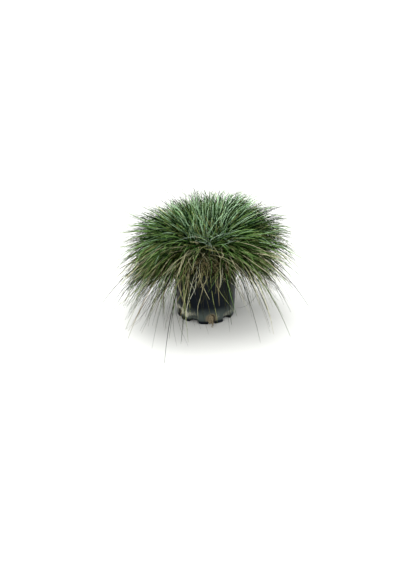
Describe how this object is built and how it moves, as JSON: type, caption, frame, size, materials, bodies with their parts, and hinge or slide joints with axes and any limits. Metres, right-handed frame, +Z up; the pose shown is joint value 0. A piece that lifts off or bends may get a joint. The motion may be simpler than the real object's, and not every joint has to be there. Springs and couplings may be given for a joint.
{
  "type": "potted blue fescue clump",
  "caption": "Clump of fine blue-green fescue grass, arching out and drooping over a round black nursery pot with fluted feet.",
  "frame": {"origin": "on the ground under the middle of the pot", "axes": "+Z up; -Y towards the open side of the clump, where the pot shows; +X to the right seen from there"},
  "size_m": [0.4317, 0.4099, 0.2451],
  "materials": {
    "black_plastic": "satin black pressed plastic, dusty, with dried mud near the base",
    "compost": "damp crumbly compost bound by fine roots",
    "leaf_bases": "pale dry leaf sheaths, matte",
    "blue_green_leaf": "fine needle leaf with a faint waxy bloom",
    "green_leaf": "fine needle leaf, satin",
    "straw_leaf": "old olive and straw-coloured needle leaf, matte",
    "root_fibre": "brown fibrous root, matte"
  },
  "bodies": {
    "root": {"pot": "black_plastic", "compost": "compost", "crown": "leaf_bases", "drooping_tuft_01": "straw_leaf", "drooping_tuft_02": "straw_leaf", "drooping_tuft_03": "straw_leaf", "drooping_tuft_04": "straw_leaf", "drooping_tuft_05": "straw_leaf", "drooping_tuft_06": "straw_leaf", "drooping_tuft_07": "straw_leaf", "drooping_tuft_08": "straw_leaf", "drooping_tuft_09": "straw_leaf", "drooping_tuft_10": "straw_leaf", "drooping_tuft_11": "straw_leaf", "front_tuft_01": "straw_leaf", "front_tuft_02": "straw_leaf", "spreading_tuft_01": "green_leaf", "spreading_tuft_02": "green_leaf", "spreading_tuft_03": "green_leaf", "spreading_tuft_04": "green_leaf", "spreading_tuft_05": "green_leaf", "spreading_tuft_06": "green_leaf", "spreading_tuft_07": "green_leaf", "spreading_tuft_08": "green_leaf", "spreading_tuft_09": "green_leaf", "spreading_tuft_10": "green_leaf", "spreading_tuft_11": "green_leaf", "spreading_tuft_12": "green_leaf", "spreading_tuft_13": "green_leaf", "arching_tuft_01": "blue_green_leaf", "arching_tuft_02": "blue_green_leaf", "arching_tuft_03": "blue_green_leaf", "arching_tuft_04": "blue_green_leaf", "arching_tuft_05": "blue_green_leaf", "arching_tuft_06": "blue_green_leaf", "arching_tuft_07": "blue_green_leaf", "arching_tuft_08": "blue_green_leaf", "arching_tuft_09": "blue_green_leaf", "arching_tuft_10": "blue_green_leaf", "upright_tuft_01": "blue_green_leaf", "upright_tuft_02": "blue_green_leaf", "upright_tuft_03": "blue_green_leaf", "upright_tuft_04": "blue_green_leaf", "upright_tuft_05": "blue_green_leaf", "upright_tuft_06": "blue_green_leaf", "trailing_leaf_01": "green_leaf", "trailing_leaf_02": "straw_leaf", "trailing_leaf_03": "green_leaf", "trailing_leaf_04": "green_leaf", "trailing_leaf_05": "green_leaf", "trailing_leaf_06": "straw_leaf", "trailing_leaf_07": "green_leaf", "trailing_leaf_08": "green_leaf", "trailing_leaf_09": "straw_leaf", "trailing_leaf_10": "green_leaf", "front_leaf_01": "straw_leaf", "front_leaf_02": "green_leaf", "front_leaf_03": "straw_leaf", "front_leaf_04": "green_leaf", "drain_roots": "root_fibre"}
  },
  "joints": []
}
